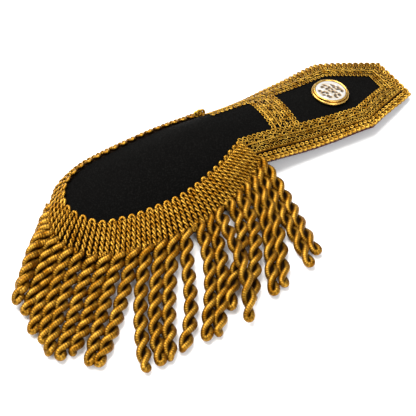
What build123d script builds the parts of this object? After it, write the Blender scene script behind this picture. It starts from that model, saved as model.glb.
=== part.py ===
from build123d import *
from bisect import bisect_left
from math import cos, hypot, radians, sin
import os

# A fringed dress epaulette lying on a flat surface, in millimetres.
# Origin: on the surface, under the button's centre. +X runs along the strap to its clipped end,
# +Y across it, away from the fringe's sweep, +Z up.

# Strap, seen from above, measured from the button's centre
tip_reach = 49.3
tip_width = 32.4
shoulder_reach = 11.4
shoulder_width = 62.6
neck_reach = 74.0
neck_width = 52.0

# Pad, seen from above
pad_reach = 175.5
pad_width = 55.5
pad_round = 48.5

# Arch of the felt's upper face
crown_height = 21.8

# Sheets
felt_thickness = 2.4
backing_thickness = 0.8
lace_thickness = 1.2
lace_setback = 2.2
lace_side_reach = 15.1
lace_front_reach = 15.7
cross_lace_reach = 31.0
cross_lace_width = 18.4
edge_cord_thickness = 3.0
layer_gap = 0.05

# Fringe
heading_width = 22.0
heading_thickness = 1.8
hem_height = 7.0
strand_length = 75.0
strand_thickness = 6.4
tucked_strands = 10
tucked_length = 43.0
tucked_thickness = 5.2

# Button
button_diameter = 22.8
button_height = 3.2
flange_height = 1.9
flange_rounding = 0.6
step_diameter = 20.8
groove_width = 0.25
groove_depth = 0.5
lip_width = 1.3
face_sink = 0.6
face_thickness = 1.0
face_dome = 0.5
button_tilt = 5.5
shank_diameter = 3.2
shank_free_length = 4.5
collar_diameter = 4.4
collar_stand = 0.3

# Fits
seat_gap = 0.15
slope_allowance = 1.35
face_gap = 0.08
shank_clearance = 0.2
rest_gap = 0.2
first_rib_gap = 1.1

# Arch sections from the pad's round end to the clipped end. Columns: place as a share of the whole
# length, crown as a share of crown_height, and sag at the section's side as a share of it.
arch_rows = [
    (-0.02, 0.43, 0.33),
    (0.11, 0.68, 0.53),
    (0.22, 0.867, 0.72),
    (0.33, 0.972, 0.80),
    (0.44, 1.00, 0.87),
    (0.56, 0.925, 0.81),
    (0.64, 0.79, 0.64),
    (0.73, 0.66, 0.40),
    (0.81, 0.57, 0.22),
    (0.92, 0.37, 0.14),
    (1.02, 0.155, 0.04),
]

# Heading of the fringe, from the near end of the lace round the pad to the far end. Columns: along
# as a share of pad_reach and across as a share of half of pad_width give the looped edge; lean is
# the ribs' angle in degrees from -Y towards -X; spread as a share of heading_width is their length
# seen from above; droop is the hem's height as a share of hem_height; turn is the place along the
# rib, as a share of it, about which the sheet bends down.
heading_rows = [
    (-0.413, -0.46, -30, 0.71, 1.50, 0.60),
    (-0.442, -0.53, -23, 0.80, 1.31, 0.60),
    (-0.493, -0.67, -20, 0.80, 1.14, 0.60),
    (-0.564, -0.80, -11, 0.86, 1.00, 0.60),
    (-0.631, -0.89, 2, 0.92, 1.00, 0.60),
    (-0.691, -0.915, 13, 1.01, 1.00, 0.60),
    (-0.753, -0.90, 22, 1.07, 1.00, 0.60),
    (-0.815, -0.87, 28, 1.08, 1.00, 0.60),
    (-0.875, -0.80, 32, 1.07, 1.00, 0.60),
    (-0.928, -0.68, 36, 1.05, 1.00, 0.60),
    (-0.953, -0.53, 41, 1.04, 1.00, 0.60),
    (-0.969, -0.38, 47, 1.00, 1.00, 0.60),
    (-0.981, -0.23, 54, 0.93, 1.00, 0.60),
    (-0.987, -0.05, 60, 0.86, 1.00, 0.60),
    (-0.985, 0.13, 66, 0.79, 1.00, 0.63),
    (-0.975, 0.29, 74, 0.69, 0.91, 0.68),
    (-0.958, 0.45, 88, 0.56, 0.77, 0.75),
    (-0.940, 0.58, 108, 0.46, 0.64, 0.82),
    (-0.918, 0.68, 135, 0.41, 0.56, 0.88),
    (-0.887, 0.78, 160, 0.39, 0.51, 0.90),
    (-0.807, 0.87, 180, 0.38, 0.49, 0.90),
    (-0.697, 0.91, 180, 0.37, 0.49, 0.90),
    (-0.587, 0.94, 180, 0.35, 0.49, 0.90),
    (-0.501, 0.97, 180, 0.33, 0.52, 0.90),
    (-0.433, 0.98, 180, 0.30, 0.60, 0.90),
]

# Visible strands, from the near end of the heading to its far corner. Columns: root as a share of
# the hem's length; reach as a share of strand_length; heading in degrees from -Y towards -X;
# bow_near and bow_far, sideways offsets at a third and two thirds, as shares of the reach;
# lift_near, lift_far and lift_tip above lying flat, as shares of strand_thickness.
strand_rows = [
    (0.003, 0.87, 4, 0.09, 0.04, 0.07, 0.0, 0.0),
    (0.022, 0.92, 9, 0.01, -0.01, 0.06, 0.0, 0.0),
    (0.044, 0.95, 17, 0.06, 0.08, 0.23, 0.05, 0.0),
    (0.067, 0.97, 20, 0.07, 0.05, 0.03, 0.0, 0.0),
    (0.092, 0.92, 24, 0.09, 0.07, 0.41, 0.23, 0.0),
    (0.119, 0.91, 30, 0.11, 0.06, 0.03, 0.0, 0.0),
    (0.146, 0.96, 20, 0.05, 0.05, 1.14, 1.13, 0.0),
    (0.172, 0.98, 28, 0.06, 0.05, 0.06, 0.0, 0.0),
    (0.199, 0.95, 28, 0.05, 0.04, 0.07, 0.0, 0.0),
    (0.226, 1.00, 33, 0.03, 0.06, 0.12, 0.0, 0.0),
    (0.252, 1.02, 31, -0.04, -0.05, 0.14, 0.0, 0.0),
    (0.280, 1.00, 30, -0.05, -0.07, 0.13, 0.0, 0.0),
    (0.309, 1.01, 30, -0.05, -0.06, 0.12, 0.0, 0.0),
    (0.336, 0.94, 44, -0.02, -0.01, 0.12, 0.0, 0.0),
    (0.363, 0.91, 43, -0.03, -0.03, 0.13, 0.0, 0.0),
    (0.390, 0.84, 45, -0.02, -0.02, 0.13, 0.0, 0.0),
    (0.417, 0.85, 43, -0.04, -0.03, 0.03, 0.0, 0.0),
    (0.445, 0.80, 41, -0.02, -0.02, 0.06, 0.0, 0.0),
    (0.468, 0.77, 41, -0.04, -0.03, 0.08, 0.0, 0.0),
    (0.490, 0.72, 42, -0.05, -0.04, 0.03, 0.0, 0.0),
    (0.511, 0.63, 46, -0.04, -0.02, 0.45, 0.37, 0.0),
    (0.532, 0.62, 46, -0.06, -0.04, 0.89, 1.05, 0.83),
    (0.655, 0.97, 43, -0.03, -0.03, 0.04, 0.0, 0.0),
]

# Strands of the far side, tucked under the pad: first and last root as shares of the hem's length,
# and first and last heading in degrees from -Y towards -X.
tucked_roots = (0.735, 0.985)
tucked_headings = (12, 34)

# Round sections along a strand. Columns: place as a share of its route, radius as a share of half
# of strand_thickness.
strand_sections = [
    (0.0, 0.25),
    (0.06, 0.80),
    (0.18, 1.0),
    (0.28, 1.0),
    (0.40, 1.0),
    (0.62, 1.0),
    (0.84, 1.0),
    (0.97, 0.90),
    (1.0, 0.45),
]

# Gaps of the pierced face, repeated round the centre. Columns: distance from the centre and
# diameter as shares of the face's radius, and angle in degrees.
scroll_repeats = 4
scroll_eye = (0.50, 0.23)
scroll_slot_width = 0.085
scroll_start = 45
scroll_sweep = 215
dot_rows = [
    (0.50, 0.10, 0),
    (0.84, 0.11, 22),
    (0.80, 0.10, -24),
    (0.30, 0.12, 45),
    (0.66, 0.09, 45),
]

# Sections reach this far past the strap's widest outline
section_margin = 2.7
# Place on a rib, as a share of it, where the strands' roots lie inside the heading
root_place = 0.93
# Points along each rib of the heading
rib_points = 6
# Share by which a rib has dropped at its bend, twice over: more makes the bend rounder
bend_roundness = 1.2
# Short run along a strand's route, as a share of it, that gives its direction
route_step = 0.01

body_length = tip_reach + pad_reach
section_reach = shoulder_width / 2 + section_margin
# Prisms that cut outlines reach above every sheet
cut_height = 2 * crown_height
neck_x = -neck_reach
pad_centre_x = pad_round - pad_reach
heading_lift = layer_gap + heading_thickness


def arch_layer(lift, thickness):
    """Block of an arched sheet: its upper face lies lift above the felt's, its lower face thickness below."""
    sections = []
    for place, crown, sag in arch_rows:
        x = place * body_length - pad_reach
        top = crown * crown_height + lift
        side = top - sag * crown_height
        upper = ThreePointArc((x, -section_reach, side), (x, 0, top), (x, section_reach, side))
        under = Vector(0, 0, -thickness)
        lower = ThreePointArc(upper @ 1 + under, upper @ 0.5 + under, upper @ 0 + under)
        far_side = Line(upper @ 1, lower @ 0)
        near_side = Line(lower @ 1, upper @ 0)
        sections.append(Wire([upper, far_side, lower, near_side]))
    return Solid.make_loft(sections)


def prism(face):
    """A face on the ground plane, drawn out upwards."""
    return extrude(Plane.XY * face, cut_height)


def shank_hole():
    """The cut that lets the button's shank through the sheets."""
    return Pos(0, 0, cut_height / 2) * Cylinder(collar_diameter / 2 + shank_clearance, cut_height)


def meet(first, second):
    """Where two straight lines cross, each given by two points."""
    (x1, y1), (x2, y2) = first
    (x3, y3), (x4, y4) = second
    turn = (x1 - x2) * (y3 - y4) - (y1 - y2) * (x3 - x4)
    a = x1 * y2 - y1 * x2
    b = x3 * y4 - y3 * x4
    return ((a * (x3 - x4) - (x1 - x2) * b) / turn, (a * (y3 - y4) - (y1 - y2) * b) / turn)


def inset_line(start, end, distance):
    """The straight line from start to end, moved sideways to its right."""
    run = hypot(end[0] - start[0], end[1] - start[1])
    dx = (end[1] - start[1]) / run * distance
    dy = -(end[0] - start[0]) / run * distance
    return ((start[0] + dx, start[1] + dy), (end[0] + dx, end[1] + dy))


def strap_corners(side_inset, front_inset):
    """Neck, shoulder and tip corners on the +Y side, moved in from the strap's outline."""
    neck = (neck_x, neck_width / 2)
    shoulder = (shoulder_reach, shoulder_width / 2)
    tip = (tip_reach, tip_width / 2)
    side = inset_line(neck, shoulder, side_inset)
    chamfer = inset_line(shoulder, tip, front_inset)
    front = inset_line(tip, (tip_reach, 0), front_inset)
    neck_end = ((neck_x, 0), (neck_x, neck_width))
    return [meet(neck_end, side), meet(side, chamfer), meet(chamfer, front)]


def mirrored(corners):
    """The corners of a closed outline, from those on its +Y side."""
    return corners + [(x, -y) for x, y in reversed(corners)]


def polygon(corners):
    return make_face(Polyline(*corners, close=True))


def pad_face():
    """The pad's outline: straight sides and a half oval end."""
    sides = Pos((neck_x + pad_centre_x) / 2, 0) * Rectangle(neck_x - pad_centre_x, pad_width)
    oval = Pos(pad_centre_x, 0) * Ellipse(pad_round, pad_width / 2)
    return sides + oval


def felt_top(x, y, face):
    """Height of a sheet's upper face above a point of the ground plane."""
    hits = face.find_intersection_points(Axis((x, y, -cut_height), (0, 0, 1)))
    return max(point.Z for point, normal in hits)


def upper_face(solid):
    """The face of an arched block that looks up."""
    return max(solid.faces(), key=lambda face: face.normal_at(face.center()).Z)


edge_inset = edge_cord_thickness + layer_gap
felt_block = arch_layer(0, felt_thickness)
felt_face = upper_face(felt_block)


def make_cloth_top():
    """Felt strap and pad in one piece."""
    strap = polygon(mirrored(strap_corners(edge_inset, edge_inset)))
    outline = prism(strap) + prism(pad_face())
    return (felt_block & outline) - shank_hole()


def make_backing():
    """Lining under the strap, out to the edge cord's rim."""
    block = arch_layer(-felt_thickness - layer_gap, backing_thickness)
    outline = prism(polygon(mirrored(strap_corners(layer_gap, layer_gap)))) - fringe_side()
    return (block & outline) - shank_hole()


def lace_inner():
    """Corners of the border's inner edge on the +Y side."""
    return strap_corners(lace_side_reach, lace_front_reach)


def over_felt(x, y):
    """Whether the felt lies below this point, or within the heading's thickness of it."""
    margin = heading_thickness / 2
    end = min(x - pad_centre_x, 0) / (pad_round + margin)
    return end ** 2 + (y / (pad_width / 2 + margin)) ** 2 < 1


def heading_point(row, share):
    """A point of the heading's upper side, at a share of the rib from its looped edge to its hem."""
    along, across, lean, spread, droop, turn = row
    x = along * pad_reach
    y = across * pad_width / 2
    run = spread * heading_width
    start_z = felt_top(x, y, felt_face) + heading_lift
    end_z = droop * hem_height
    turn_z = start_z - (bend_roundness - turn) / 2 * (start_z - end_z)
    plan = 2 * share * (1 - share) * turn + share ** 2
    z = (1 - share) ** 2 * start_z + 2 * share * (1 - share) * turn_z + share ** 2 * end_z
    px = x - run * plan * sin(radians(lean))
    py = y - run * plan * cos(radians(lean))
    if over_felt(px, py):
        z = max(z, felt_top(px, py, felt_face) + heading_lift * slope_allowance)
    return Vector(px, py, z)


def rib(row):
    """Points of the heading's upper and lower side along one rib."""
    shares = [i / (rib_points - 1) for i in range(rib_points)]
    upper = [heading_point(row, share) for share in shares]
    lower = []
    for i, point in enumerate(upper):
        run = upper[min(i + 1, rib_points - 1)] - upper[max(i - 1, 0)]
        plan = hypot(run.X, run.Y)
        normal = Vector(-run.X / plan * run.Z, -run.Y / plan * run.Z, plan).normalized()
        lower.append(point - normal * heading_thickness)
    return upper, lower


def fringe_side():
    """The space behind the heading's first rib on the near side, where the strap's trimmings stop."""
    start = heading_point(heading_rows[0], 0)
    end = heading_point(heading_rows[0], 1)
    first_rib = ((start.X + first_rib_gap, start.Y), (end.X + first_rib_gap, end.Y))
    back_x = neck_x - strand_thickness
    near_y = -neck_width
    inner_end = meet(first_rib, ((0, 0), (1, 0)))
    outer_end = meet(first_rib, ((0, near_y), (1, near_y)))
    return prism(polygon([(back_x, 0), inner_end, outer_end, (back_x, near_y)]))


def make_strap_lace():
    """Border of lace round the strap, lying on the felt and stopping at the fringe's heading."""
    block = arch_layer(layer_gap + lace_thickness, lace_thickness)
    outer = polygon(mirrored(strap_corners(lace_setback, lace_setback)))
    inner = polygon(mirrored(lace_inner()))
    return block & (prism(outer) - prism(inner) - fringe_side())


def make_cross_lace():
    """Band of lace across the strap, between the border's inner edges."""
    block = arch_layer(layer_gap + lace_thickness, lace_thickness)
    neck, shoulder, tip = lace_inner()
    front_x = -cross_lace_reach
    back_x = front_x - cross_lace_width
    edge = ((neck[0], neck[1] - seat_gap), (shoulder[0], shoulder[1] - seat_gap))
    back = meet(edge, ((back_x, 0), (back_x, 1)))
    front = meet(edge, ((front_x, 0), (front_x, 1)))
    return block & prism(polygon(mirrored([back, front])))


def make_edge_cord():
    """Gimp along the strap's outer edge, beside the felt, between the lace and the lining."""
    block = arch_layer(0, felt_thickness)
    outer = polygon(mirrored(strap_corners(0, 0)))
    inner = polygon(mirrored(strap_corners(edge_cord_thickness, edge_cord_thickness)))
    return block & (prism(outer) - prism(inner) - fringe_side())


def heading_section(row):
    """Closed outline of the heading across one rib: upper side out to the hem, lower side back."""
    upper, lower = rib(row)
    return Wire.make_polygon(upper + list(reversed(lower)), close=True)


def hem_route():
    """Points inside the heading along its hem, where the strands' roots lie, and their distances."""
    points = []
    for row in heading_rows:
        upper, lower = rib(row)
        middle = [(above + below) / 2 for above, below in zip(upper, lower)]
        place = root_place * (rib_points - 1) - (rib_points - 2)
        points.append(middle[-2] + (middle[-1] - middle[-2]) * place)
    runs = [0.0]
    for start, end in zip(points, points[1:]):
        runs.append(runs[-1] + hypot(end.X - start.X, end.Y - start.Y))
    return points, runs


def hem_point(share):
    points, runs = hem_route()
    run = share * runs[-1]
    i = min(max(bisect_left(runs, run), 1), len(runs) - 1)
    part = (run - runs[i - 1]) / (runs[i] - runs[i - 1])
    return points[i - 1] + (points[i] - points[i - 1]) * part


def strand(row, thickness):
    """One round strand from inside the hem to its free end, lofted through round sections."""
    root, length, heading, bow_near, bow_far, lift_near, lift_far, lift_tip = row
    start = hem_point(root)
    out = Vector(-sin(radians(heading)), -cos(radians(heading)), 0)
    side = Vector(-out.Y, out.X, 0)
    rest_z = rest_gap + thickness / 2
    flat = Vector(start.X, start.Y, rest_z)
    rise = Vector(0, 0, thickness)
    knots = [
        start,
        flat + out * (length / 3) + side * (bow_near * length) + rise * lift_near,
        flat + out * (length * 2 / 3) + side * (bow_far * length) + rise * lift_far,
        flat + out * length + rise * lift_tip,
    ]

    def place(t):
        weights = [
            (1 - 3 * t) * (2 - 3 * t) * (1 - t) / 2,
            9 * t * (2 - 3 * t) * (1 - t) / 2,
            9 * t * (3 * t - 1) * (1 - t) / 2,
            t * (3 * t - 1) * (3 * t - 2) / 2,
        ]
        point = sum((knot * weight for knot, weight in zip(knots, weights)), Vector(0, 0, 0))
        return Vector(point.X, point.Y, max(point.Z, rest_z))

    sections = []
    for share, size in strand_sections:
        ahead = place(min(share + route_step, 1))
        behind = place(max(share - route_step, 0))
        plane = Plane(place(share), z_dir=ahead - behind)
        sections.append((plane * Circle(size * thickness / 2)).wire())
    return Solid.make_loft(sections)


def tucked_rows():
    """The far side's strands, drawn in under the pad."""
    rows = []
    for i in range(tucked_strands):
        part = i / (tucked_strands - 1)
        root = tucked_roots[0] + part * (tucked_roots[1] - tucked_roots[0])
        heading = tucked_headings[0] + part * (tucked_headings[1] - tucked_headings[0])
        rows.append((root, tucked_length, heading, 0, 0, 0, 0, 0))
    return rows


def make_fringe():
    """Ribbed heading as a ruled sheet round the pad, with its strands fused to the hem."""
    heading = Solid.make_loft([heading_section(row) for row in heading_rows], ruled=True)
    visible = [strand((row[0], row[1] * strand_length) + row[2:], strand_thickness) for row in strand_rows]
    tucked = [strand(row, tucked_thickness) for row in tucked_rows()]
    return heading.fuse(*visible, *tucked)


def button_seat():
    """Where the button's underside lies: on the felt's crown, leaning with the strap."""
    z = felt_top(0, 0, felt_face) + seat_gap
    return Pos(0, 0, z) * Rot(0, button_tilt, 0)


face_floor = button_height - face_sink - face_thickness


def make_button_rim():
    """Shallow cup with a rounded flange, a groove and a raised lip."""
    outer = button_diameter / 2
    step = step_diameter / 2
    inner = step - lip_width
    brim = outer - flange_rounding
    lip_radius = lip_width / 2
    lip_z = button_height - lip_radius
    with BuildPart() as rim:
        with BuildSketch(Plane.XZ):
            with BuildLine():
                start = Line((0, 0), (brim, 0))
                flange = ThreePointArc(start @ 1, (outer, flange_height / 2), (brim, flange_height))
                shelf = Line(flange @ 1, (step + groove_width, flange_height))
                notch = Line(shelf @ 1, (step, flange_height - groove_depth))
                wall = Line(notch @ 1, (step, lip_z))
                lip = ThreePointArc(wall @ 1, (step - lip_radius, button_height), (inner, lip_z))
                well = Line(lip @ 1, (inner, face_floor))
                floor = Line(well @ 1, (0, face_floor))
                Line(floor @ 1, (0, 0))
            make_face()
        revolve(axis=Axis.Z)
    return button_seat() * rim.part


def make_button_face():
    """Domed plate, pierced with scrolls and dots."""
    radius = step_diameter / 2 - lip_width - face_gap
    floor = face_floor + face_gap
    top = floor + face_thickness
    with BuildPart() as plate:
        with BuildSketch(Plane.XZ):
            with BuildLine():
                base = Line((0, floor), (radius, floor))
                rim = Line(base @ 1, (radius, top))
                dome = SagittaArc(rim @ 1, (0, top + face_dome), -face_dome / 4)
                Line(dome @ 1, (0, floor))
            make_face()
        revolve(axis=Axis.Z)
        with BuildSketch():
            Circle(radius * scroll_slot_width)
            with PolarLocations(0, scroll_repeats):
                distance, turn = scroll_eye
                with Locations((radius * distance, 0)):
                    SlotArc(
                        CenterArc((0, 0), radius * turn, scroll_start, scroll_sweep),
                        radius * scroll_slot_width,
                    )
                for distance, size, angle in dot_rows:
                    dot_x = radius * distance * cos(radians(angle))
                    dot_y = radius * distance * sin(radians(angle))
                    with Locations((dot_x, dot_y)):
                        Circle(radius * size / 2)
        extrude(amount=cut_height, both=True, mode=Mode.SUBTRACT)
    return button_seat() * plate.part


def make_button_shank():
    """Plain post: a collar from the button through the sheets, and a thinner free end below them."""
    radius = collar_diameter / 2
    top = felt_top(0, 0, felt_face) + seat_gap - radius * sin(radians(button_tilt)) - layer_gap
    length = felt_thickness + backing_thickness + collar_stand
    collar = Pos(0, 0, top - length / 2) * Cylinder(radius, length)
    free_z = top - length - shank_free_length / 2
    return collar + Pos(0, 0, free_z) * Cylinder(shank_diameter / 2, shank_free_length)


pieces = {
    "cloth_top": make_cloth_top,
    "backing": make_backing,
    "strap_lace": make_strap_lace,
    "cross_lace": make_cross_lace,
    "edge_cord": make_edge_cord,
    "fringe": make_fringe,
    "button_rim": make_button_rim,
    "button_face": make_button_face,
    "button_shank": make_button_shank,
}

os.makedirs("parts", exist_ok=True)
for name, make in pieces.items():
    export_step(make(), f"parts/{name}.step")
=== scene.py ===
import math

import bpy
import numpy as np
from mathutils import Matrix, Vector


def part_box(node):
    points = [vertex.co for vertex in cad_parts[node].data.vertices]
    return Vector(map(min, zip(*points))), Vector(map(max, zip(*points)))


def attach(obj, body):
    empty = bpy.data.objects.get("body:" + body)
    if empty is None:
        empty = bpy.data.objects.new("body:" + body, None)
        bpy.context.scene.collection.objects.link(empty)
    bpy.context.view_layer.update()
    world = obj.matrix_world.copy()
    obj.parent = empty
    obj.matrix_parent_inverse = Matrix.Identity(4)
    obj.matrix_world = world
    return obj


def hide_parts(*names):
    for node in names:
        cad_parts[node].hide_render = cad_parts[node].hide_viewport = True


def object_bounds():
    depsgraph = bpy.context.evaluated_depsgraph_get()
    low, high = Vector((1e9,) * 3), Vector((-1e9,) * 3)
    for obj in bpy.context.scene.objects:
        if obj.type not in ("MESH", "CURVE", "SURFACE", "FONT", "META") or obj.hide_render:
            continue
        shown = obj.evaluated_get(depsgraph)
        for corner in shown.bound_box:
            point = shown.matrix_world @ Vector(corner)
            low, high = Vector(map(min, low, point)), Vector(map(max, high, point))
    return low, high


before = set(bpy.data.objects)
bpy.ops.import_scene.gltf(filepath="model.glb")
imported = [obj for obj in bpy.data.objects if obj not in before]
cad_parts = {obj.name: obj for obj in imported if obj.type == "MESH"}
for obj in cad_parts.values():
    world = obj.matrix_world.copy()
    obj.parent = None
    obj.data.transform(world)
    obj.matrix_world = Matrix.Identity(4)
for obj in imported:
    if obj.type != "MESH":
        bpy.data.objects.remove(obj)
cad_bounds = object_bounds()
stage = bpy.context.scene

# Sizes in millimetres, in the part's own frame: origin under the button, +X along the strap to its
# clipped end, +Z up. Meshes are built in millimetres and stored in metres.
MM = 0.001
SEED = 11
UP = np.array([0.0, 0.0, 1.0])
CIRCLE = np.linspace(0, 2 * np.pi, 15)[:-1]

# Strap and pad, seen from above
TIP_REACH = 49.3
TIP_WIDTH = 32.4
SHOULDER_REACH = 11.4
SHOULDER_WIDTH = 62.6
NECK_REACH = 74.0
NECK_WIDTH = 52.0
PAD_REACH = 175.5
PAD_WIDTH = 55.5
PAD_ROUND = 48.5
CROWN_HEIGHT = 21.8
SECTION_REACH = SHOULDER_WIDTH / 2 + 2.7
BODY_LENGTH = TIP_REACH + PAD_REACH
PAD_CENTRE = PAD_ROUND - PAD_REACH

# Droop of the far edge past the pad: its depth, its place and runs along X, and its place and run across
FAR_DROOP = 4.3
DROOP_START = -116.0
DROOP_RISE = 60.0
DROOP_END = -25.0
DROOP_FALL = 40.0
DROOP_SIDE = 10.0
DROOP_WIDTH = 16.0

# Sheets
FELT_THICKNESS = 2.4
FELT_ROUNDING = 0.8
FELT_TUCK = 1.6
TUCK_START = -78.0
TUCK_RUN = 10.0
END_RUN = 30.0
FELT_STEP = 1.5
LINING_THICKNESS = 0.8
LINING_THREAD = 0.45
LINING_INSET = 1.1
LACE_REACH = 15.1
LACE_FRONT_REACH = 15.7
LACE_MIDDLE = 8.0
CROSS_REACH = 31.0
CROSS_WIDTH = 18.4
FAR_NARROWING = 0.165
LAYER_GAP = 0.05

# Lace and gimp
# Weight of the painted shade on the lace threads' undersides
LACE_SHADE_WEIGHT = 2.8
LACE_MARGIN = 0.1
CORD_STEP = 0.45
WAVE_PITCH = 3.0
RING_LIFT = 0.45
FAN_PITCH = 6.0
FAN_LIFT = 0.5
FAN_RISE = 0.2
FAN_ARC = 0.34
FAN_RING = 0.27
GIMP_THICKNESS = 3.0
GIMP_PITCH = 3.1
GIMP_OUT = 0.85
GIMP_NEAR_IN = 0.95
NEAR_SIDE = 20.0
NEAR_RUN = 8.0
GIMP_CORE = 1.1
KNOT_CORD = 0.72
FELT_INSET = GIMP_THICKNESS + LAYER_GAP

# Heading of the fringe
HEADING_WIDTH = 22.0
HEADING_LIFT = 1.85
HEM_HEIGHT = 7.0
TURN_FALL = 1.2
OVER_LIFT = 2.22
OVER_SLOPE = 2.5
FELT_SIDE = 33.0
LOOP_PITCH = 5.2
LOOP_CROWDING = 1.13
LOOP_CORD = 0.88
LOOP_RADIUS = 1.4
RIB_START = 2.5
RIB_TWIST = 6.0
RIB_PLY = 0.76
RIB_STEP = 0.5
RIB_SWAY = 0.12
LADDER_CORD = 0.29
LADDER_FULL_RIB = 12.0
CORE_SINK = 1.7
CORE_THICKNESS = 0.5
CORE_SHARES = (0.04, 1.1)

# Strands
STRAND_LENGTH = 75.0
STRAND_THICKNESS = 6.4
STRAND_REST = 3.25
ROOT_SHARE = 0.90
ROOT_SINK = 0.5
ROOT_SWELL = 5.0
PLY_RADIUS = 1.80
PLY_OFFSET = 2.24
PLY_OFFSET_HIGH = 1.46
CORE_RADIUS = 0.85
TIP_TAPER = 0.94
TIP_TAPER_RUN = 14.0
TIP_CLOSING = 0.70
TIP_CLOSING_RUN = 7.0
TIP_POINT = 0.95
NEAR_EASE = 0.20
FAR_EASE = 0.03
NEAR_TURNS = 3.65
FAR_TURNS = 4.0
TUCKED_TURNS = 2.7
TUCKED_STRANDS = 10
TUCKED_LENGTH = 43.0
TUCKED_SCALE = 0.78

# Button
BUTTON_TILT = 5.5
FACE_RADIUS = 9.0
FACE_TURN = -30.4
FACE_CELLS = 150
FACE_CROWN = 0.5
FACE_BASE = 0.35
FACE_LIFT = 0.6
GAP_SPREAD = 0.93
GAP_GROWTH = 1.12
GAP_DEPTH = 0.85
RIDGE_HEIGHT = 0.16
RIDGE_WIDTH = 0.75
RIM_RIDGE = 0.6
CURL_REACH = 5.0
CURL_SIZE = 2.9
CURL_CLOSING = 2.1

# Arch of the felt's upper face. Columns: place as a share of the whole length, crown as a share of
# the crown height, and sag at the section's side as a share of it.
ARCH = np.array([
    (-0.02, 0.43, 0.33),
    (0.11, 0.68, 0.53),
    (0.22, 0.867, 0.72),
    (0.33, 0.972, 0.80),
    (0.44, 1.00, 0.87),
    (0.56, 0.925, 0.81),
    (0.64, 0.79, 0.64),
    (0.73, 0.66, 0.40),
    (0.81, 0.57, 0.22),
    (0.92, 0.37, 0.14),
    (1.02, 0.155, 0.04),
])

# The heading from the near end of the lace round the pad to the far end. Columns: along as a share
# of the pad's reach and across as a share of half its width give the looped edge; lean is the ribs'
# angle in degrees from -Y towards -X; spread as a share of the heading's width; droop is the hem's
# height as a share of the hem's height; turn is the place where the sheet bends down.
HEADING = np.array([
    (-0.413, -0.46, -30, 0.71, 1.5, 0.6),
    (-0.442, -0.53, -23, 0.8, 1.31, 0.6),
    (-0.493, -0.67, -20, 0.8, 1.14, 0.6),
    (-0.564, -0.8, -11, 0.86, 1.0, 0.6),
    (-0.631, -0.89, 2, 0.92, 1.0, 0.6),
    (-0.691, -0.915, 13, 1.01, 1.0, 0.6),
    (-0.753, -0.9, 22, 1.07, 1.0, 0.6),
    (-0.815, -0.87, 28, 1.08, 1.0, 0.6),
    (-0.875, -0.8, 32, 1.07, 1.0, 0.6),
    (-0.928, -0.68, 36, 1.05, 1.0, 0.6),
    (-0.953, -0.53, 41, 1.04, 1.0, 0.6),
    (-0.969, -0.38, 47, 1.0, 1.0, 0.6),
    (-0.981, -0.23, 54, 0.93, 1.0, 0.6),
    (-0.987, -0.05, 60, 0.86, 1.0, 0.6),
    (-0.985, 0.13, 66, 0.76, 1.0, 0.63),
    (-0.975, 0.29, 74, 0.64, 0.91, 0.68),
    (-0.958, 0.45, 88, 0.5, 0.77, 0.75),
    (-0.940, 0.58, 108, 0.43, 0.64, 0.82),
    (-0.918, 0.68, 135, 0.33, 0.56, 0.88),
    (-0.887, 0.78, 160, 0.3, 0.51, 0.9),
    (-0.807, 0.87, 180, 0.31, 0.49, 0.9),
    (-0.697, 0.9, 180, 0.3, 0.49, 0.9),
    (-0.587, 0.925, 180, 0.28, 0.49, 0.9),
    (-0.501, 0.955, 180, 0.28, 0.52, 0.9),
    (-0.433, 0.98, 180, 0.3, 0.6, 0.9),
])

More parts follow.
